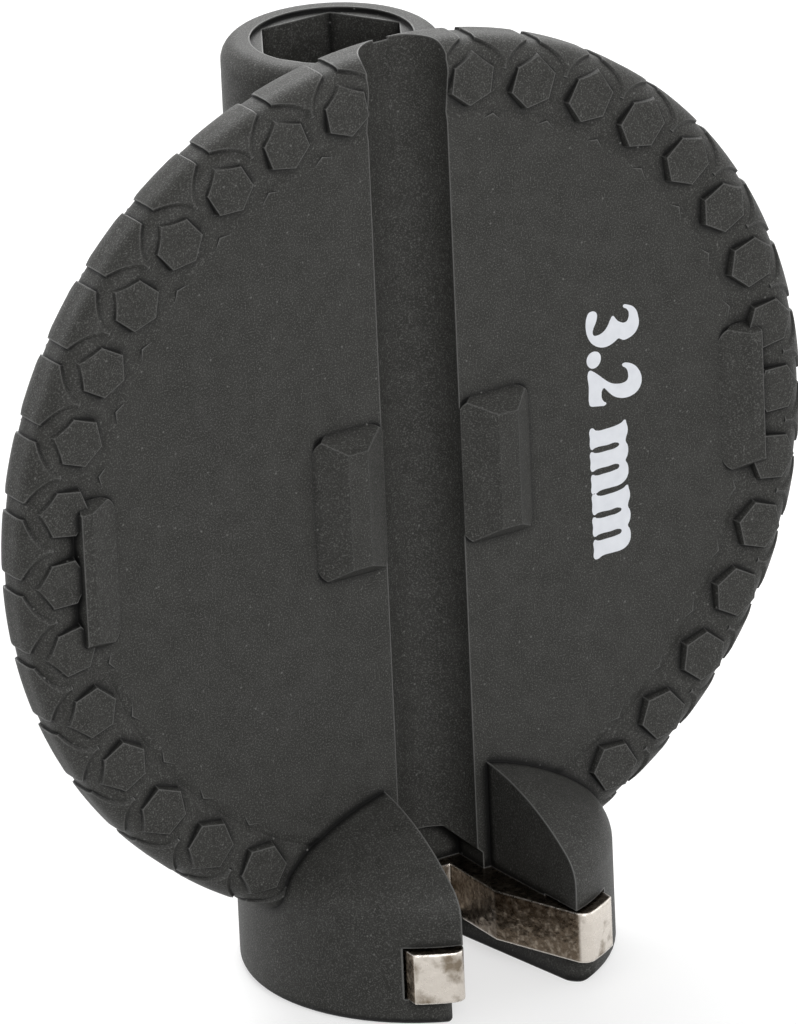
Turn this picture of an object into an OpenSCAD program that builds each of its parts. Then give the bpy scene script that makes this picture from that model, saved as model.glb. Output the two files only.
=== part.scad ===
// Spoke wrench: a moulded disc handle with a slotted boss that holds a steel
// jaw, a hexagon socket on a second boss, and a honeycomb grip round the rim.
// Millimetres, +Z up. The origin is the centre of the slotted boss's end face.
// The disc stands upright in the X-Z plane and the jaw opens towards -Y.

/* [Disc] */

// radius over the studded rim
disc_r = 23.5; // [22:0.5:28]
// thickness over the tops of the studs
disc_t = 3.8; // [3.6:0.1:4.6]
// depth of the flat faces below the stud tops
field_sink = 0.4; // [0.3:0.05:0.5]
// depth of the honeycomb grooves below the flat faces
groove_sink = 0.1; // [0.05:0.05:0.3]
// radius of the rounded edges of the rim
rim_round = 1.5; // [1:0.1:1.7]
// depth of the grooves that cross the rim
rim_groove = 0.15; // [0.1:0.05:0.3]
// height of the disc's centre above the end face of the slotted boss
disc_z = 26.5; // [25:0.5:30]

/* [Grip studs] */

// number of studs round each face
stud_count = 36; // [32:2:36]
// distance of the face studs' centres from the edge of the rim
stud_inset = 2.1; // [1.8:0.1:2.6]
// width across flats at the top of a face stud
stud_top_af = 2.3; // [2:0.05:2.4]
// width across flats at the foot of a face stud
stud_foot_af = 2.6; // [2.4:0.05:2.9]
// width across flats of a stud on the rim
rim_stud_af = 3.2; // [2.8:0.05:3.25]
// width of the slope between a flat face and the grooves
field_slope = 0.5; // [0.3:0.1:0.8]

/* [Channel] */

// radius of the spoke channel
channel_r = 2.33; // [1.8:0.05:2.6]

/* [Pads] */

// height of the four pads along the disc
pad_len = 8.05; // [6:0.5:10]
// how far the two pads beside the channel stand up
inner_pad_h = 1.25; // [0.6:0.05:1.5]
// width of a pad beside the channel at its foot
inner_pad_w = 4.15; // [3.4:0.1:5]
// width of the flat top of a pad beside the channel
inner_pad_top_w = 1.15; // [0.6:0.05:1.3]
// width of that pad's slope towards the channel
inner_pad_lean = 1.6; // [1.2:0.1:1.9]
// how far the two pads near the rim stand up
outer_pad_h = 0.7; // [0.6:0.05:1]
// width of a pad near the rim at its foot
outer_pad_w = 2.5; // [2.2:0.1:3.2]
// width of the flat top of a pad near the rim
outer_pad_top_w = 0.65; // [0.4:0.05:0.8]
// distance of the rim-side foot of those pads from the edge of the rim
outer_pad_inset = 2.9; // [2.7:0.1:4]
// width of the slope of those pads towards the rim
outer_pad_lean = 0.2; // [0.1:0.1:0.5]
// how far the ends of the pads lean in for each millimetre of height
pad_slope = 0.7; // [0.3:0.1:1]
// radius of the pads' corners
pad_corner = 1; // [0.4:0.1:1.1]

/* [Slotted boss] */

// radius of the boss round the jaw
boss_r = 9.75; // [8.75:0.25:11]
// height of the top of its dome
boss_tall = 10.6; // [9.5:0.1:12]
// radius of the sphere of its dome
dome_r = 13.9; // [12:0.5:18]
// radius of the rounding between the dome and the boss's side
dome_round = 2; // [1.6:0.1:2.4]
// radius of the rounded edge at its end face
boss_round = 0.5; // [0.2:0.1:0.9]
// width of the slot at the flat face of the disc
slot_back_w = 6.2; // [5.6:0.1:6.8]
// width of the slot at the front of the boss
slot_front_w = 7.1; // [6.2:0.1:8]
// width of the pocket behind the slot, over the jaw
pocket_w = 5.3; // [4.8:0.1:5.6]
// height of that pocket over the jaw
pocket_tall = 2.1; // [1.6:0.1:2.6]
// width of the mouth under the jaw at its back
mouth_back_w = 4.4; // [4:0.1:5]
// width of the mouth under the jaw at the front of the boss
mouth_front_w = 7.6; // [6.6:0.1:8.4]
// radius of the mouth's corners at the front of the boss
mouth_round = 1; // [0.5:0.1:1.3]
// distance of the back of the pocket and the mouth behind the boss axis
pocket_back = 0.9; // [0.6:0.05:1.3]

/* [Jaw] */

// width of the opening that takes the nipple
throat_w = 3.2; // [2.8:0.05:3.6]
// thickness of the steel
jaw_t = 2.75; // [2:0.05:3]
// height of its underside above the end face
jaw_z = 1.5; // [1.2:0.1:2.2]
// width over both legs
jaw_w = 12; // [11:0.1:12.8]
// how far the tips of the legs stand out of the boss
jaw_proud = 0.6; // [0.2:0.1:1.2]
// width of the opening at the tips of the legs
jaw_mouth_w = 7.8; // [7:0.1:8.4]
// radius of the opening's corners at the tips
tip_round = 0.6; // [0.3:0.1:0.8]
// length of the parallel part of the opening
throat_len = 4.3; // [3.5:0.1:5]
// distance of the back of the opening behind the boss axis
throat_back = 0.1; // [0:0.05:0.3]
// width of the steel behind the opening
jaw_web = 3.5; // [2.5:0.1:4.5]
// gap round the legs where they leave the boss
window_gap = 0.12; // [0.05:0.01:0.25]
// how far that gap runs into the boss
window_deep = 1.4; // [1:0.1:2]

/* [Socket boss] */

// radius of the boss round the hexagon socket
head_r = 5.7; // [5.2:0.1:7]
// distance of its axis behind the middle of the disc
head_back = 5.55; // [5.5:0.05:6.5]
// distance of its end face below the top of the disc
head_drop = 1.25; // [0.5:0.05:3]
// length of the boss
head_len = 17.5; // [16:0.5:20]
// radius of its rounded lower end
head_dome_r = 8.3; // [7.5:0.1:10]
// radius of the rounded edge at its end face
head_round = 1.1; // [0.3:0.1:1.3]
// width across flats of the hexagon socket
socket_af = 7; // [6:0.1:7.4]
// depth of the hexagon socket
socket_deep = 12; // [10:0.5:12.5]
// width of the ring sunk round the socket's corners
recess_lip = 0.12; // [0.05:0.01:0.3]
// depth of that ring
recess_deep = 0.25; // [0.1:0.05:0.4]

/* [Hidden] */

$fn = 96;

// how far cutting solids run past the faces that they cut
over = 1;
// how far solids run into the ones that carry them
root = 0.4;
// share of the boss radius inside which a stud would be buried in the boss
buried_share = 0.8;
// share of an inner honeycomb point that lies inside the flat face
point_share = 0.75;
// share of the pocket's width that is left at the top of its arch
arch_share = 0.55;

face_t = disc_t / 2;
field_t = face_t - field_sink;
groove_t = field_t - groove_sink;
rim_arc_r = disc_r - rim_round;
arc_t = face_t - rim_round;
groove_r = disc_r - rim_groove;
groove_round = rim_round - rim_groove;
shoulder_t = face_t - rim_groove;
stud_ring_r = disc_r - stud_inset;
stud_step = 360 / stud_count;
row_pitch = PI * stud_ring_r / stud_count * sqrt(3);
inner_ring_r = stud_ring_r - row_pitch;
point_r = (stud_foot_af + stud_top_af) / 2 / sqrt(3);
field_r = inner_ring_r + point_r * point_share;
disc_top = disc_z + disc_r;
inner_pad_in = channel_r - root / 4;
inner_pad_out = channel_r + inner_pad_w;
inner_top_in = channel_r + inner_pad_lean;
outer_pad_out = disc_r - outer_pad_inset;
outer_top_out = outer_pad_out - outer_pad_lean;
jaw_top = jaw_z + jaw_t;
tip_r = boss_r + jaw_proud;
jaw_back = throat_back + jaw_web;
throat_front = throat_back - throat_len;
throat_lean = atan((jaw_mouth_w - throat_w) / 2 / (tip_r + throat_front));
mouth_lean = atan((mouth_front_w - mouth_back_w) / 2 / (boss_r + throat_back));
window_back = window_deep - sqrt(boss_r * boss_r - jaw_w * jaw_w / 4);
front_y = -tip_r - over;
head_top = disc_top - head_drop;
socket_r = socket_af / sqrt(3);

// Outline in radius and thickness of the rounded rim.
module rim_outline(outer_r, round_r) {
    translate([0, -arc_t]) square([outer_r, 2 * arc_t]);
    for (side = [-1, 1])
        translate([rim_arc_r, side * arc_t]) circle(r = round_r);
}

// Turns an outline round the disc's axis.
module turned() {
    translate([0, 0, disc_z]) rotate([90, 0, 0]) rotate_extrude() children();
}

// Carries a solid to its place round the disc, its own Z pointing outwards.
module at_rim(turn, r) {
    translate([0, 0, disc_z]) rotate([0, turn, 0]) translate([0, 0, r]) children();
}

// Bar with sloping sides, as wide as a stud across one pair of its flats.
module stud_bar(tall) {
    rotate([90, 0, 0]) linear_extrude(2 * stud_foot_af, center = true) polygon([
        [-stud_foot_af / 2, -root],
        [stud_foot_af / 2, -root],
        [stud_foot_af / 2, 0],
        [stud_top_af / 2, tall],
        [-stud_top_af / 2, tall],
        [-stud_foot_af / 2, 0],
    ]);
}

// Hexagonal stud with drafted sides, two of its corners along Y.
module stud(tall) {
    intersection() {
        stud_bar(tall);
        rotate([0, 0, 60]) stud_bar(tall);
        rotate([0, 0, 120]) stud_bar(tall);
    }
}

// True where a stud stands clear of the slotted boss.
function clear_of_boss(turn, r) = cos(turn) > 0 || abs(r * sin(turn)) > boss_r * buried_share;

module face_stud(turn, side) {
    at_rim(turn, stud_ring_r) rotate([side * 90, 0, 0]) translate([0, 0, groove_t])
        stud(face_t - groove_t);
}

module rim_stud(turn) {
    at_rim(turn, rim_arc_r) rotate(30)
        cylinder(r = rim_stud_af / sqrt(3), h = rim_round + over, $fn = 6);
}

// The honeycomb: a ring of studs on each face and one between them on the rim.
// The channel takes the front stud at the top and cuts into its neighbours.
module grip_studs() {
    intersection() {
        turned() {
            rim_outline(disc_r, rim_round);
            translate([0, -face_t]) square([rim_arc_r, disc_t]);
        }
        union() {
            difference() {
                for (step = [-1, 0])
                    rim_stud((step + 1 / 2) * stud_step);
                channel();
            }
            face_stud(0, -1);
            for (step = [1:stud_count - 1]) {
                turn = step * stud_step;
                if (clear_of_boss(turn, stud_ring_r))
                    for (side = [-1, 1])
                        face_stud(turn, side);
                rim_turn = turn + stud_step / 2;
                if (step < stud_count - 1 && clear_of_boss(rim_turn, disc_r))
                    rim_stud(rim_turn);
            }
        }
    }
}

// Points of the next honeycomb row, which run out of the flat faces.
module face_points() {
    translate([0, 0, disc_z]) rotate([90, 0, 0]) linear_extrude(2 * field_t, center = true)
        for (step = [0:stud_count - 1]) {
            turn = (step + 1 / 2) * stud_step;
            if (clear_of_boss(turn, inner_ring_r))
                rotate(turn) translate([0, inner_ring_r]) rotate(30) circle(r = point_r, $fn = 6);
        }
}

// Disc under the studs: flat faces, a slope down to the grooves, rounded rim.
module disc_core() {
    face_points();
    turned() {
        rim_outline(groove_r, groove_round);
        polygon([
            [0, -field_t],
            [field_r, -field_t],
            [field_r + field_slope, -groove_t],
            [rim_arc_r, -shoulder_t],
            [rim_arc_r, shoulder_t],
            [field_r + field_slope, groove_t],
            [field_r, field_t],
            [0, field_t],
        ]);
    }
}

// Half-round channel in the front face, open to the front.
module channel() {
    translate([0, -field_t, jaw_top]) {
        cylinder(r = channel_r, h = disc_top);
        translate([-channel_r, -channel_r - over, 0])
            cube([2 * channel_r, channel_r + over, disc_top]);
    }
}

// Block with four sloping sides on the front face. The sides given are the
// distances of its foot and of its flat top from the middle of the disc.
module pad(foot_in, foot_out, top_in, top_out, tall) {
    top_len = pad_len - 2 * tall * pad_slope;
    translate([0, -field_t, disc_z]) intersection() {
        translate([0, 0, -pad_len / 2]) linear_extrude(pad_len) polygon([
            [foot_in, root],
            [foot_in, 0],
            [top_in, -tall],
            [top_out, -tall],
            [foot_out, 0],
            [foot_out, root],
        ]);
        rotate([90, 0, 90]) linear_extrude(disc_r) polygon([
            [root, -pad_len / 2],
            [0, -pad_len / 2],
            [-tall, -top_len / 2],
            [-tall, top_len / 2],
            [0, pad_len / 2],
            [root, pad_len / 2],
        ]);
        rotate([90, 0, 0]) translate([0, 0, -root]) linear_extrude(tall + 2 * root)
            rounded_rect(foot_in, foot_out, pad_len, pad_corner);
    }
}

// Rectangle between two distances from the middle, with rounded corners.
module rounded_rect(from, to, tall, corner) {
    inner = tall - 2 * corner;
    translate([from, -inner / 2]) square([to - from, inner]);
    translate([from + corner, -tall / 2]) square([to - from - 2 * corner, tall]);
    for (x = [from + corner, to - corner])
        for (y = [-inner / 2, inner / 2])
            translate([x, y]) circle(r = corner);
}

// Turns the right-hand pads' sizes into both pairs.
module pads() {
    for (side = [0, 1])
        mirror([side, 0, 0]) {
            pad(inner_pad_in, inner_pad_out, inner_top_in, inner_top_in + inner_pad_top_w, inner_pad_h);
            pad(outer_pad_out - outer_pad_w, outer_pad_out,
                outer_top_out - outer_pad_top_w, outer_top_out, outer_pad_h);
        }
}

// Upright boss round the jaw, with a spherical dome that rounds into its side.
module slotted_boss() {
    dome_at = [0, boss_tall - dome_r];
    near_r = dome_r - dome_round;
    round_x = boss_r - dome_round;
    round_at = dome_at + [round_x, sqrt(near_r * near_r - round_x * round_x)];
    touch = dome_at + (round_at - dome_at) * dome_r / near_r;
    rotate_extrude() difference() {
        intersection() {
            union() {
                square([boss_r - boss_round, boss_tall]);
                translate([0, boss_round]) square([boss_r, boss_tall]);
                translate([boss_r - boss_round, boss_round]) circle(r = boss_round);
            }
            translate(dome_at) circle(r = dome_r);
        }
        difference() {
            polygon([
                [boss_r, round_at[1]],
                [boss_r + over, round_at[1]],
                [boss_r + over, touch[1]],
                touch,
            ]);
            translate(round_at) circle(r = dome_round);
        }
    }
}

// Boss for the hexagon socket, with a rounded lower end.
module socket_boss() {
    translate([0, head_back, head_top - head_len]) rotate_extrude() {
        intersection() {
            square([head_r, head_dome_r]);
            translate([0, head_dome_r]) circle(r = head_dome_r);
        }
        translate([0, head_dome_r]) {
            square([head_r, head_len - head_dome_r - head_round]);
            square([head_r - head_round, head_len - head_dome_r]);
        }
        translate([head_r - head_round, head_len - head_round]) circle(r = head_round);
    }
}

// Slot over the jaw, down to the flat face of the disc.
module slot() {
    translate([0, 0, jaw_top]) linear_extrude(boss_tall) polygon([
        [-slot_back_w / 2, -field_t],
        [slot_back_w / 2, -field_t],
        [slot_front_w / 2, front_y],
        [-slot_front_w / 2, front_y],
    ]);
}

// Arched pocket behind the slot, where the nipple's body sits.
module pocket() {
    arch_w = pocket_w * arch_share;
    spring = pocket_tall - (pocket_w - arch_w) / 2;
    translate([0, pocket_back, jaw_top]) rotate([90, 0, 0])
        linear_extrude(pocket_back + field_t + root) polygon([
            [-pocket_w / 2, 0],
            [pocket_w / 2, 0],
            [pocket_w / 2, spring],
            [arch_w / 2, pocket_tall],
            [-arch_w / 2, pocket_tall],
            [-pocket_w / 2, spring],
        ]);
}

// Mouth under the jaw, open at the end face.
module mouth() {
    translate([0, 0, -over]) linear_extrude(jaw_z + over)
        flared_opening(mouth_back_w, pocket_back, throat_back, mouth_lean, boss_r, mouth_round);
}

// Seat of the jaw in the boss, with its gap round the legs at the front.
module jaw_window() {
    window_w = jaw_w + 2 * window_gap;
    translate([0, 0, jaw_z]) {
        linear_extrude(jaw_t) jaw_outline();
        translate([-window_w / 2, front_y, 0])
            cube([window_w, window_back - front_y, jaw_t + window_gap]);
    }
}

module socket() {
    translate([0, head_back, head_top]) {
        translate([0, 0, -socket_deep])
            cylinder(r = socket_r, h = socket_deep + head_drop + over, $fn = 6);
        translate([0, 0, -recess_deep])
            cylinder(r = socket_r + recess_lip, h = recess_deep + head_drop + over);
    }
}

module body() color([0.1, 0.1, 0.1]) {
    difference() {
        union() {
            disc_core();
            pads();
            slotted_boss();
            socket_boss();
        }
        channel();
        slot();
        pocket();
        mouth();
        jaw_window();
        socket();
    }
    grip_studs();
}

// Centre of the round corner between a leaning side that starts at x, y and
// runs to the front, and a circle about the boss axis.
function corner_at(x, y, lean, outer_r, round_r) =
    let (base = [x + round_r * cos(lean), y + round_r * sin(lean)])
    let (along = [sin(lean), -cos(lean)])
    let (shift = base * along)
    let (far_r = outer_r - round_r)
    base + along * (sqrt(shift * shift - base * base + far_r * far_r) - shift);

// Opening to the front: parallel from back_y to start_y, then leaning out to
// corners with a radius on a circle about the boss axis.
module flared_opening(wide, back_y, start_y, lean, outer_r, round_r) {
    corner = corner_at(wide / 2, start_y, lean, outer_r, round_r);
    side_x = corner[0] - round_r * cos(lean);
    side_y = corner[1] - round_r * sin(lean);
    tip = corner * outer_r / (outer_r - round_r);
    difference() {
        polygon([
            [-wide / 2, back_y],
            [wide / 2, back_y],
            [wide / 2, start_y],
            [side_x, side_y],
            tip,
            [tip[0], front_y],
            [-tip[0], front_y],
            [-tip[0], tip[1]],
            [-side_x, side_y],
            [-wide / 2, start_y],
        ]);
        for (side = [-1, 1])
            translate([side * corner[0], corner[1]]) circle(r = round_r);
    }
}

// Outline of the steel jaw from above, without its opening.
module jaw_outline() {
    intersection() {
        translate([-jaw_w / 2, -tip_r]) square([jaw_w, tip_r + jaw_back]);
        circle(r = tip_r);
    }
}

module jaw_insert() color([0.75, 0.73, 0.7]) {
    translate([0, 0, jaw_z]) linear_extrude(jaw_t) difference() {
        jaw_outline();
        flared_opening(throat_w, throat_back, throat_front, throat_lean, tip_r, tip_round);
    }
}

body();
jaw_insert();
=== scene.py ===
"""Spoke wrench: looks, printed marking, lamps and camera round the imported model."""

from math import radians

import bpy
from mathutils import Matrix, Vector


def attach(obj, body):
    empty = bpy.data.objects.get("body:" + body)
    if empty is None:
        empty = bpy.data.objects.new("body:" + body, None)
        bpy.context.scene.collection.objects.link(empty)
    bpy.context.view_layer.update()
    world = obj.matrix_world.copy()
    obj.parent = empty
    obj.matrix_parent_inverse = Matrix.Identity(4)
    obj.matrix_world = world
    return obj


MM = 0.001

# Places on the handle, in millimetres, as in the model's frame.
DISC_CENTRE_Z = 26.5
FLAT_FACE_Y = -1.5

# The marking is drawn in units of 1/105 mm: each outline is a row of (across, down).
# It reads down the disc, so the tops of its letters point to +X.
INK_UNIT = 1 / 105
INK_TOP_X = 14.0
INK_LEFT_Z = DISC_CENTRE_Z + 7.2
INK_THICKNESS = 0.02
INK_CURVE_STEPS = 4

THREE = [
    (52, 166), (58, 134), (74, 106), (100, 85), (135, 75), (175, 71), (210, 84), (236, 110),
    (249, 146), (251, 172), (242, 190), (235, 203), (246, 226), (259, 256), (264, 292),
    (257, 327), (240, 357), (215, 382), (180, 400), (140, 409), (100, 409), (68, 402),
    (46, 388), (41, 369), (46, 349), (62, 337), (86, 337), (112, 346), (140, 361),
    (165, 367), (182, 359), (186, 338), (180, 310), (165, 286), (140, 266), (115, 252),
    (98, 236), (116, 219), (133, 205), (145, 187), (153, 168), (150, 150), (135, 138),
    (110, 133), (90, 138), (75, 150), (63, 167),
]
POINT = [
    (276, 350), (290, 330), (318, 321), (348, 330), (366, 352), (368, 378),
    (352, 401), (322, 412), (290, 402), (275, 380),
]
TWO = [
    (384, 178), (387, 156), (397, 132), (414, 107), (438, 87), (470, 71), (502, 66),
    (536, 73), (565, 95), (582, 130), (586, 170), (578, 210), (560, 246), (532, 276),
    (510, 295), (498, 308), (508, 320), (530, 325), (555, 323), (575, 311), (588, 297),
    (598, 306), (596, 332), (590, 366), (582, 396), (570, 404), (470, 404), (384, 404),
    (377, 392), (386, 374), (412, 342), (440, 312), (465, 283), (484, 253), (494, 220),
    (497, 190), (490, 162), (475, 152), (455, 151), (430, 156), (412, 169), (402, 183),
    (391, 187),
]
LETTER_M = [
    (712, 181), (732, 174), (760, 167), (790, 169), (815, 179), (836, 182), (862, 171),
    (895, 168), (925, 176), (947, 187), (970, 176), (1010, 171), (1042, 179), (1066, 200),
    (1079, 232), (1081, 290), (1083, 358), (1094, 386), (1090, 407), (1036, 409),
    (984, 407), (980, 398), (988, 383), (990, 330), (986, 252), (980, 233), (966, 228),
    (955, 240), (954, 300), (955, 378), (962, 399), (955, 409), (904, 410), (850, 408),
    (848, 398), (858, 380), (862, 300), (858, 242), (846, 224), (832, 235), (830, 300),
    (828, 378), (835, 399), (825, 408), (770, 409), (716, 406), (711, 391), (729, 370),
    (735, 300), (730, 230), (723, 204),
]
LETTER_M_STEP = 380

# Grain, wear, painted shade and painted highlight that the finishes share. A range holds the
# readings that become 0 and 1.
GRAIN_DETAIL = 3
GRAIN_HARSHNESS = 0.65
MOTTLE_DETAIL = 4
GLINT_RANGE = (0.50, 0.78)
SPECK_GLINT_RANGE = (0.09, 0.04)
# The corner and groove readings become painted shade in hollows.
CORNER_SHADE_RANGE = (0.68, 0.97)
GROOVE_SHADE_RANGE = (0.62, 0.94)
# The rubbed readings lighten edges as wear and a painted highlight.
RUBBED_HIGHLIGHT_RANGE = (0.92, 0.60)
SHADE_AND_WEAR_RAYS = 8
EDGE_RAYS = 6

# In each finish, the scales of grain, specks, mottle and waves are in features to the
# metre, and reaches, rounding and relief in millimetres. A roughness pair is that of
# low and high grain.
PLASTIC_DARK = (0.0170, 0.0170, 0.0150, 1)
PLASTIC_LIGHT = (0.0430, 0.0428, 0.0400, 1)
PLASTIC_GLINT = (0.135, 0.133, 0.128, 1)
# Painted shade: the colour that corners and grooves darken towards.
PLASTIC_PAINTED_SHADE = (0.003, 0.003, 0.003, 1)
# Rubbed edges, lighter partly from wear and partly as a painted highlight.
PLASTIC_RUBBED_HIGHLIGHT = (0.125, 0.125, 0.121, 1)
# Specks of glass, lightened further as painted glints.
GLASS_SPECK_GLINT = (0.115, 0.115, 0.110, 1)
PLASTIC_GRAIN = 12000
PLASTIC_SPECKS = 1200
PLASTIC_MOTTLE = 1100
PLASTIC_CORNER_SHADE_REACH = 0.6
PLASTIC_GROOVE_SHADE_REACH = 0.18
PLASTIC_EDGE_REACH = 0.10
PLASTIC_ROUGHNESS = (0.62, 0.46)
PLASTIC_RUBBED_ROUGHNESS = 0.22
PLASTIC_GLOSS = 0.15
PLASTIC_ROUNDING = 0.07
PLASTIC_RELIEF = 0.025
PLASTIC_RELIEF_STRENGTH = 0.45

PLATING = (0.64, 0.59, 0.53, 1)
PLATING_STAIN = (0.22, 0.18, 0.135, 1)
TORN_DARK = (0.13, 0.10, 0.072, 1)
TORN_LIGHT = (0.42, 0.36, 0.29, 1)
# Rubbed steel edges, lighter partly from wear and partly as a painted highlight.
STEEL_RUBBED_HIGHLIGHT = (0.85, 0.80, 0.74, 1)
STEEL_GRAIN = 2600
STEEL_MOTTLE = 900
STEEL_WAVES = 1500
STEEL_WAVE_DETAIL = 4
PLATED_RANGE = (-0.45, -0.70)
STAIN_RANGE = (0.50, 0.68)
STEEL_EDGE_REACH = 0.10
STEEL_ROUGHNESS = (0.16, 0.42)
STEEL_ROUNDING = 0.25
STEEL_RELIEF = 0.12
STEEL_RELIEF_STRENGTH = 0.7

INK_THIN = (0.62, 0.64, 0.68, 1)
INK_FULL = (0.80, 0.82, 0.86, 1)
INK_GRAIN = 5200
INK_MOTTLE = 1500
INK_ROUGHNESS = 0.55
INK_RELIEF = 0.03
INK_RELIEF_STRENGTH = 0.3

# The floor, from its middle to its sides in metres, and the sky. The floor's glow and
# SKY_SEEN are for the camera and for reflections, and SKY_ON_TOOL lights the tool.
FLOOR_REACH = 3.0
FLOOR_GREY = (0.5, 0.5, 0.5, 1)
FLOOR_ROUGHNESS = 0.9
FLOOR_GLOW = 0.55
SKY_WHITE = (1, 1, 1, 1)
SKY_ON_TOOL = 0.42
SKY_SEEN = 1.0

# Each lamp's place and side in metres, and its power in watts.
LAMPS = {
    "top_lamp": ((0.30, 0.50, 0.55), 0.7, 7.8),
    "right_lamp": ((0.75, -0.25, 0.35), 0.6, 1.3),
    "front_lamp": ((-0.20, -0.83, 0.50), 0.6, 5.2),
    "back_lamp": ((-0.45, 0.85, 0.30), 0.5, 3),
}

# Camera fitted to the photo: millimetres and degrees, and what it sees in metres.
CAMERA_PLACE = (-283.42, -468.50, 250.29)
CAMERA_TURN = (67.5645, 2.3373, -32.0821)
CAMERA_LENS = 407.95
CAMERA_SENSOR = 36
CAMERA_NEAR = 0.05
CAMERA_FAR = 20

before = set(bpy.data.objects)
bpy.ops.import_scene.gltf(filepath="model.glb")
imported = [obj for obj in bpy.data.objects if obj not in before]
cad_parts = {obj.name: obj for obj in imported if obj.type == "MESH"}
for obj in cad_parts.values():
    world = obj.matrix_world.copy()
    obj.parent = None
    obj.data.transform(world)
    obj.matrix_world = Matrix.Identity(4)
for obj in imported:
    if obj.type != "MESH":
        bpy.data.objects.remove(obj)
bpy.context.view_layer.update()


def new_nodes(tree, kinds):
    """Adds the named nodes to a tree and returns them with a function that links them."""
    nodes = {name: tree.nodes.new(kind) for name, kind in kinds.items()}

    def link(source, output, target, socket):
        giver = nodes[source] if isinstance(source, str) else source
        taker = nodes[target] if isinstance(target, str) else target
        tree.links.new(giver.outputs[output], taker.inputs[socket])

    return nodes, link


def new_material(name, kinds):
    """New material, its surface shader, its named nodes and the function that links them."""
    material = bpy.data.materials.new(name)
    material.use_nodes = True
    nodes, link = new_nodes(material.node_tree, kinds)
    return material, material.node_tree.nodes["Principled BSDF"], nodes, link


def new_group(name, inputs, outputs, kinds):
    """New node group of number sockets, with its ends as the nodes ins and outs."""
    group = bpy.data.node_groups.new(name, "ShaderNodeTree")
    for socket in inputs:
        group.interface.new_socket(socket, in_out="INPUT", socket_type="NodeSocketFloat")
    for socket in outputs:
        group.interface.new_socket(socket, in_out="OUTPUT", socket_type="NodeSocketFloat")
    ends = {"ins": "NodeGroupInput", "outs": "NodeGroupOutput"}
    nodes, link = new_nodes(group, {**ends, **kinds})
    return group, nodes, link


def set_sockets(node, values):
    for socket, value in values.items():
        node.inputs[socket].default_value = value


def read_range(node, readings):
    """Sets a Map Range node's readings that become 0 and 1."""
    set_sockets(node, {"From Min": readings[0], "From Max": readings[1]})


def give_range(node, results):
    """Sets what a Map Range node gives for 0 and 1."""
    set_sockets(node, {"To Min": results[0], "To Max": results[1]})


def mix_colours(node, colours):
    """Turns a Mix node to colours, and sets those that no other node brings."""
    node.data_type = "RGBA"
    set_sockets(node, colours)


def moulded_grain_group():
    """Grain of a moulded, glass-filled plastic: glints, rare specks of glass that are also
    painted glints, height and shade.
    """
    scales = ("Grain Scale", "Speck Scale", "Shade Scale")
    looks = ("Glints", "Speck Glints", "Height", "Shade")
    group, nodes, link = new_group("moulded_grain", scales, looks, {
        "place": "ShaderNodeTexCoord",
        "fine": "ShaderNodeTexNoise",
        "flecks": "ShaderNodeMapRange",
        "fibres": "ShaderNodeTexVoronoi",
        "speck": "ShaderNodeMapRange",
        "slow": "ShaderNodeTexNoise",
    })
    set_sockets(nodes["fine"], {"Detail": GRAIN_DETAIL, "Roughness": GRAIN_HARSHNESS})
    set_sockets(nodes["slow"], {"Detail": MOTTLE_DETAIL})
    read_range(nodes["flecks"], GLINT_RANGE)
    read_range(nodes["speck"], SPECK_GLINT_RANGE)
    for texture, scale in zip(("fine", "fibres", "slow"), scales):
        link("place", "Object", texture, "Vector")
        link("ins", scale, texture, "Scale")
    link("fine", "Fac", "flecks", "Value")
    link("fibres", "Distance", "speck", "Value")
    link("flecks", "Result", "outs", "Glints")
    link("speck", "Result", "outs", "Speck Glints")
    link("fine", "Fac", "outs", "Height")
    link("slow", "Fac", "outs", "Shade")
    return group


def painted_shade_and_edge_wear_group():
    """Masks: 1 where open and 0 in corners and grooves, for painted shade, and 1 on rubbed
    edges, for wear and a painted highlight.
    """
    reaches = ("Corner Shade Reach", "Groove Shade Reach", "Edge Reach")
    group, nodes, link = new_group("painted_shade_and_edge_wear", reaches, ("Unshaded", "Rubbed Highlight"), {
        "corner": "ShaderNodeAmbientOcclusion",
        "shaded": "ShaderNodeMapRange",
        "groove": "ShaderNodeAmbientOcclusion",
        "line": "ShaderNodeMapRange",
        "both": "ShaderNodeMath",
        "edge": "ShaderNodeAmbientOcclusion",
        "rub": "ShaderNodeMapRange",
    })
    # Occlusion in corners and grooves becomes painted shade; occlusion inside edges marks
    # rubbed edges, for wear and a painted highlight.
    read_range(nodes["shaded"], CORNER_SHADE_RANGE)
    read_range(nodes["line"], GROOVE_SHADE_RANGE)
    read_range(nodes["rub"], RUBBED_HIGHLIGHT_RANGE)
    nodes["both"].operation = "MULTIPLY"
    nodes["edge"].inside = True
    masks = (("corner", "shaded"), ("groove", "line"), ("edge", "rub"))
    for reach, (hollow, mask) in zip(reaches, masks):
        nodes[hollow].samples = SHADE_AND_WEAR_RAYS
        link("ins", reach, hollow, "Distance")
        link(hollow, "AO", mask, "Value")
    link("shaded", "Result", "both", 0)
    link("line", "Result", "both", 1)
    link("both", "Value", "outs", "Unshaded")
    link("rub", "Result", "outs", "Rubbed Highlight")
    return group


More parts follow.
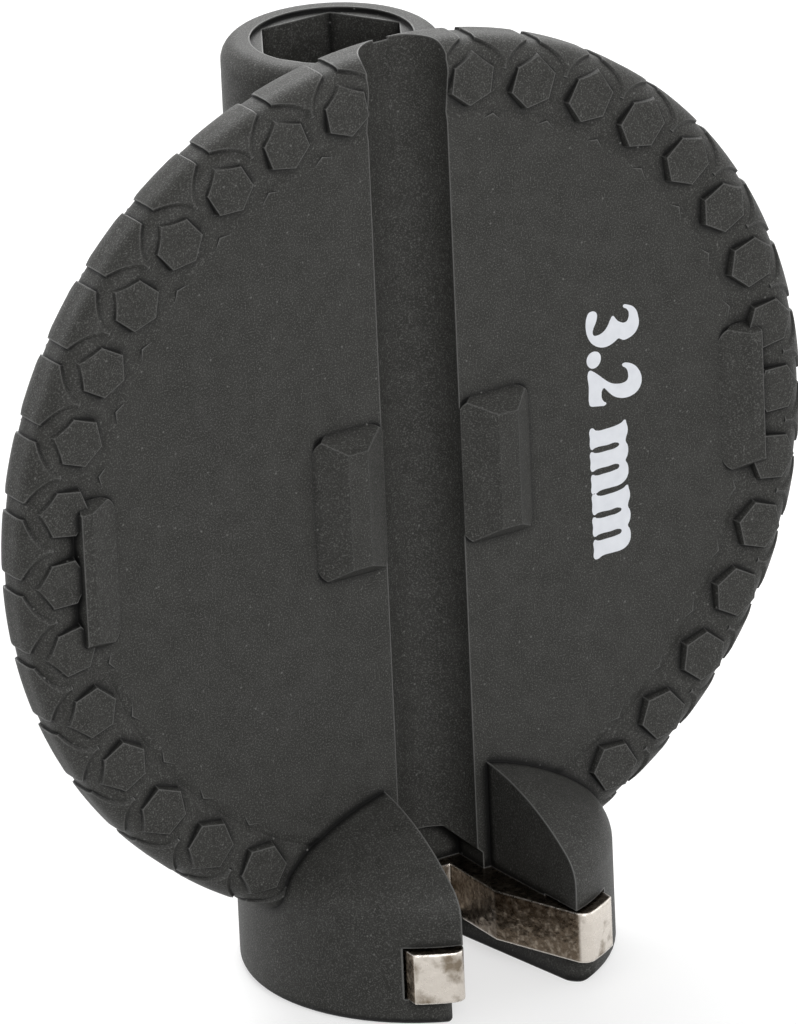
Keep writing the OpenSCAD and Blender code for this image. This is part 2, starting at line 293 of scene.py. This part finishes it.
def black_plastic(grain, wear):
    """Grain and mottle, painted shade in corners and grooves, then rubbed edges lightened as
    wear and a painted highlight, and light specks of glass that are also painted glints.
    """
    material, surface, nodes, link = new_material("black_moulded_plastic", {
        "grain": "ShaderNodeGroup",
        "wear": "ShaderNodeGroup",
        "shade": "ShaderNodeMix",
        "fleck": "ShaderNodeMix",
        "groove": "ShaderNodeMix",
        "rubbed": "ShaderNodeMix",
        "speck": "ShaderNodeMix",
        "rough": "ShaderNodeMapRange",
        "polish": "ShaderNodeMix",
        "edge": "ShaderNodeBevel",
        "bump": "ShaderNodeBump",
    })
    nodes["grain"].node_tree = grain
    set_sockets(nodes["grain"], {
        "Grain Scale": PLASTIC_GRAIN,
        "Speck Scale": PLASTIC_SPECKS,
        "Shade Scale": PLASTIC_MOTTLE,
    })
    nodes["wear"].node_tree = wear
    set_sockets(nodes["wear"], {
        "Corner Shade Reach": PLASTIC_CORNER_SHADE_REACH * MM,
        "Groove Shade Reach": PLASTIC_GROOVE_SHADE_REACH * MM,
        "Edge Reach": PLASTIC_EDGE_REACH * MM,
    })
    mix_colours(nodes["shade"], {"A": PLASTIC_DARK, "B": PLASTIC_LIGHT})
    mix_colours(nodes["fleck"], {"B": PLASTIC_GLINT})
    mix_colours(nodes["groove"], {"A": PLASTIC_PAINTED_SHADE})
    mix_colours(nodes["rubbed"], {"B": PLASTIC_RUBBED_HIGHLIGHT})
    mix_colours(nodes["speck"], {"B": GLASS_SPECK_GLINT})
    give_range(nodes["rough"], PLASTIC_ROUGHNESS)
    set_sockets(nodes["polish"], {"B": PLASTIC_RUBBED_ROUGHNESS})
    nodes["edge"].samples = EDGE_RAYS
    set_sockets(nodes["edge"], {"Radius": PLASTIC_ROUNDING * MM})
    set_sockets(nodes["bump"], {
        "Strength": PLASTIC_RELIEF_STRENGTH,
        "Distance": PLASTIC_RELIEF * MM,
    })
    set_sockets(surface, {"Specular IOR Level": PLASTIC_GLOSS})

    link("grain", "Shade", "shade", "Factor")
    link("shade", "Result", "fleck", "A")
    link("grain", "Glints", "fleck", "Factor")
    # Painted shade darkens the corners and grooves.
    link("fleck", "Result", "groove", "B")
    link("wear", "Unshaded", "groove", "Factor")
    # Rubbed edges are lightened as wear and as a painted highlight.
    link("groove", "Result", "rubbed", "A")
    link("wear", "Rubbed Highlight", "rubbed", "Factor")
    # Light specks of glass, partly painted glints.
    link("rubbed", "Result", "speck", "A")
    link("grain", "Speck Glints", "speck", "Factor")
    link("speck", "Result", surface, "Base Color")
    link("grain", "Height", "rough", "Value")
    link("rough", "Result", "polish", "A")
    link("wear", "Rubbed Highlight", "polish", "Factor")
    link("polish", "Result", surface, "Roughness")
    link("grain", "Height", "bump", "Height")
    link("edge", "Normal", "bump", "Normal")
    link("bump", "Normal", surface, "Normal")
    return material


def plated_steel(grain, wear):
    """Stained plating on the faces that look forward, bare torn steel on the walls, and
    edges lightened as wear and a painted highlight.
    """
    material, surface, nodes, link = new_material("nickel_plated_steel", {
        "grain": "ShaderNodeGroup",
        "wear": "ShaderNodeGroup",
        "place": "ShaderNodeTexCoord",
        "facing": "ShaderNodeSeparateXYZ",
        "plated": "ShaderNodeMapRange",
        "spread": "ShaderNodeMapRange",
        "stain": "ShaderNodeMix",
        "torn": "ShaderNodeMix",
        "bare": "ShaderNodeMix",
        "rubbed": "ShaderNodeMix",
        "rough": "ShaderNodeMapRange",
        "waves": "ShaderNodeTexNoise",
        "edge": "ShaderNodeBevel",
        "bump": "ShaderNodeBump",
    })
    nodes["grain"].node_tree = grain
    set_sockets(nodes["grain"], {"Grain Scale": STEEL_GRAIN, "Shade Scale": STEEL_MOTTLE})
    nodes["wear"].node_tree = wear
    set_sockets(nodes["wear"], {"Edge Reach": STEEL_EDGE_REACH * MM})
    read_range(nodes["plated"], PLATED_RANGE)
    read_range(nodes["spread"], STAIN_RANGE)
    mix_colours(nodes["stain"], {"A": PLATING, "B": PLATING_STAIN})
    mix_colours(nodes["torn"], {"A": TORN_DARK, "B": TORN_LIGHT})
    mix_colours(nodes["bare"], {})
    mix_colours(nodes["rubbed"], {"B": STEEL_RUBBED_HIGHLIGHT})
    give_range(nodes["rough"], STEEL_ROUGHNESS)
    set_sockets(nodes["waves"], {"Scale": STEEL_WAVES, "Detail": STEEL_WAVE_DETAIL})
    nodes["edge"].samples = EDGE_RAYS
    set_sockets(nodes["edge"], {"Radius": STEEL_ROUNDING * MM})
    set_sockets(nodes["bump"], {
        "Strength": STEEL_RELIEF_STRENGTH,
        "Distance": STEEL_RELIEF * MM,
    })
    set_sockets(surface, {"Metallic": 1})

    link("grain", "Shade", "spread", "Value")
    link("spread", "Result", "stain", "Factor")
    link("place", "Normal", "facing", "Vector")
    link("facing", "Y", "plated", "Value")
    link("grain", "Glints", "torn", "Factor")
    link("torn", "Result", "bare", "A")
    link("stain", "Result", "bare", "B")
    link("plated", "Result", "bare", "Factor")
    # Rubbed edges are lightened as wear and as a painted highlight.
    link("bare", "Result", "rubbed", "A")
    link("wear", "Rubbed Highlight", "rubbed", "Factor")
    link("rubbed", "Result", surface, "Base Color")
    link("grain", "Height", "rough", "Value")
    link("rough", "Result", surface, "Roughness")
    link("place", "Object", "waves", "Vector")
    link("waves", "Fac", "bump", "Height")
    link("edge", "Normal", "bump", "Normal")
    link("bump", "Normal", surface, "Normal")
    return material


def white_ink(grain):
    """Ink that is thin in places and shows the moulding's grain under it."""
    material, surface, nodes, link = new_material("white_pad_print", {
        "grain": "ShaderNodeGroup",
        "tint": "ShaderNodeMix",
        "bump": "ShaderNodeBump",
    })
    nodes["grain"].node_tree = grain
    set_sockets(nodes["grain"], {"Grain Scale": INK_GRAIN, "Shade Scale": INK_MOTTLE})
    mix_colours(nodes["tint"], {"A": INK_THIN, "B": INK_FULL})
    set_sockets(nodes["bump"], {
        "Strength": INK_RELIEF_STRENGTH,
        "Distance": INK_RELIEF * MM,
    })
    set_sockets(surface, {"Roughness": INK_ROUGHNESS})

    link("grain", "Shade", "tint", "Factor")
    link("tint", "Result", surface, "Base Color")
    link("grain", "Height", "bump", "Height")
    link("bump", "Normal", surface, "Normal")
    return material


def printed_outline(curve, points, step=0):
    """One letter's outline, turned from the drawing's units onto the flat face."""
    spline = curve.splines.new("BEZIER")
    spline.bezier_points.add(len(points) - 1)
    spline.use_cyclic_u = True
    for knot, (across, down) in zip(spline.bezier_points, points):
        x = INK_TOP_X - down * INK_UNIT
        z = INK_LEFT_Z - (across + step) * INK_UNIT
        knot.co = (x * MM, z * MM, 0)
        knot.handle_left_type = knot.handle_right_type = "AUTO"


def printed_marking(material):
    """The size 3.2 mm, as a thin layer of ink on the front flat face."""
    curve = bpy.data.curves.new("size_marking", "CURVE")
    curve.dimensions = "2D"
    curve.fill_mode = "BOTH"
    curve.resolution_u = INK_CURVE_STEPS
    curve.extrude = INK_THICKNESS / 2 * MM
    for outline in (THREE, POINT, TWO, LETTER_M):
        printed_outline(curve, outline)
    printed_outline(curve, LETTER_M, LETTER_M_STEP)
    curve.materials.append(material)
    marking = bpy.data.objects.new("size_marking", curve)
    bpy.context.collection.objects.link(marking)
    marking.rotation_euler = (radians(90), 0, 0)
    marking.location = (0, FLAT_FACE_Y * MM, 0)
    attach(marking, "root")


def seen_rays(nodes, link):
    """Makes the node seen give 1 to rays from the camera and from reflections."""
    nodes["seen"].operation = "MAXIMUM"
    link("path", "Is Camera Ray", "seen", 0)
    link("path", "Is Glossy Ray", "seen", 1)


def pale_floor():
    """Floor under the tool: white where the camera meets it, but for the shadow."""
    mesh = bpy.data.meshes.new("floor")
    sides = ((-1, -1), (1, -1), (1, 1), (-1, 1))
    corners = [(x * FLOOR_REACH, y * FLOOR_REACH, 0) for x, y in sides]
    mesh.from_pydata(corners, [], [(0, 1, 2, 3)])
    floor = bpy.data.objects.new("floor", mesh)
    bpy.context.collection.objects.link(floor)
    material, surface, nodes, link = new_material("floor_white", {
        "path": "ShaderNodeLightPath",
        "seen": "ShaderNodeMath",
    })
    set_sockets(surface, {
        "Base Color": FLOOR_GREY,
        "Roughness": FLOOR_ROUGHNESS,
        "Specular IOR Level": 0,
        "Emission Strength": FLOOR_GLOW,
    })
    seen_rays(nodes, link)
    link("seen", "Value", surface, "Emission Color")
    mesh.materials.append(material)


def studio_world():
    """Even light from all round, which looks white behind the tool and in its steel."""
    world = bpy.data.worlds.new("studio")
    bpy.context.scene.world = world
    world.use_nodes = True
    world.node_tree.nodes.clear()
    nodes, link = new_nodes(world.node_tree, {
        "path": "ShaderNodeLightPath",
        "seen": "ShaderNodeMath",
        "strength": "ShaderNodeMapRange",
        "sky": "ShaderNodeBackground",
        "world": "ShaderNodeOutputWorld",
    })
    set_sockets(nodes["sky"], {"Color": SKY_WHITE})
    give_range(nodes["strength"], (SKY_ON_TOOL, SKY_SEEN))
    seen_rays(nodes, link)
    link("seen", "Value", "strength", "Value")
    link("strength", "Result", "sky", "Strength")
    link("sky", "Background", "world", "Surface")


def soft_lamp(name, place, side, power):
    """Square soft box that faces the middle of the tool."""
    data = bpy.data.lights.new(name, "AREA")
    data.energy = power
    data.size = side
    lamp = bpy.data.objects.new(name, data)
    bpy.context.collection.objects.link(lamp)
    lamp.location = place
    towards = Vector((0, 0, DISC_CENTRE_Z * MM)) - Vector(place)
    lamp.rotation_euler = towards.to_track_quat("-Z", "Y").to_euler()


def photo_camera():
    """Long lens at the photo's angle: 31 degrees to the left and 22 above."""
    data = bpy.data.cameras.new("camera")
    data.lens = CAMERA_LENS
    data.sensor_width = CAMERA_SENSOR
    data.clip_start = CAMERA_NEAR
    data.clip_end = CAMERA_FAR
    camera = bpy.data.objects.new("camera", data)
    bpy.context.collection.objects.link(camera)
    camera.location = [along * MM for along in CAMERA_PLACE]
    camera.rotation_euler = [radians(turn) for turn in CAMERA_TURN]
    bpy.context.scene.camera = camera


def wear_material(node, material):
    """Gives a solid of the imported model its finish."""
    node.data.materials.clear()
    node.data.materials.append(material)


photo_camera()
studio_world()
pale_floor()
for lamp_name, (lamp_place, lamp_side, lamp_power) in LAMPS.items():
    soft_lamp(lamp_name, lamp_place, lamp_side, lamp_power)

grain = moulded_grain_group()
wear = painted_shade_and_edge_wear_group()
wear_material(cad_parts["body"], black_plastic(grain, wear))
wear_material(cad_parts["jaw_insert"], plated_steel(grain, wear))
printed_marking(white_ink(grain))

bpy.context.scene.view_settings.view_transform = "Standard"
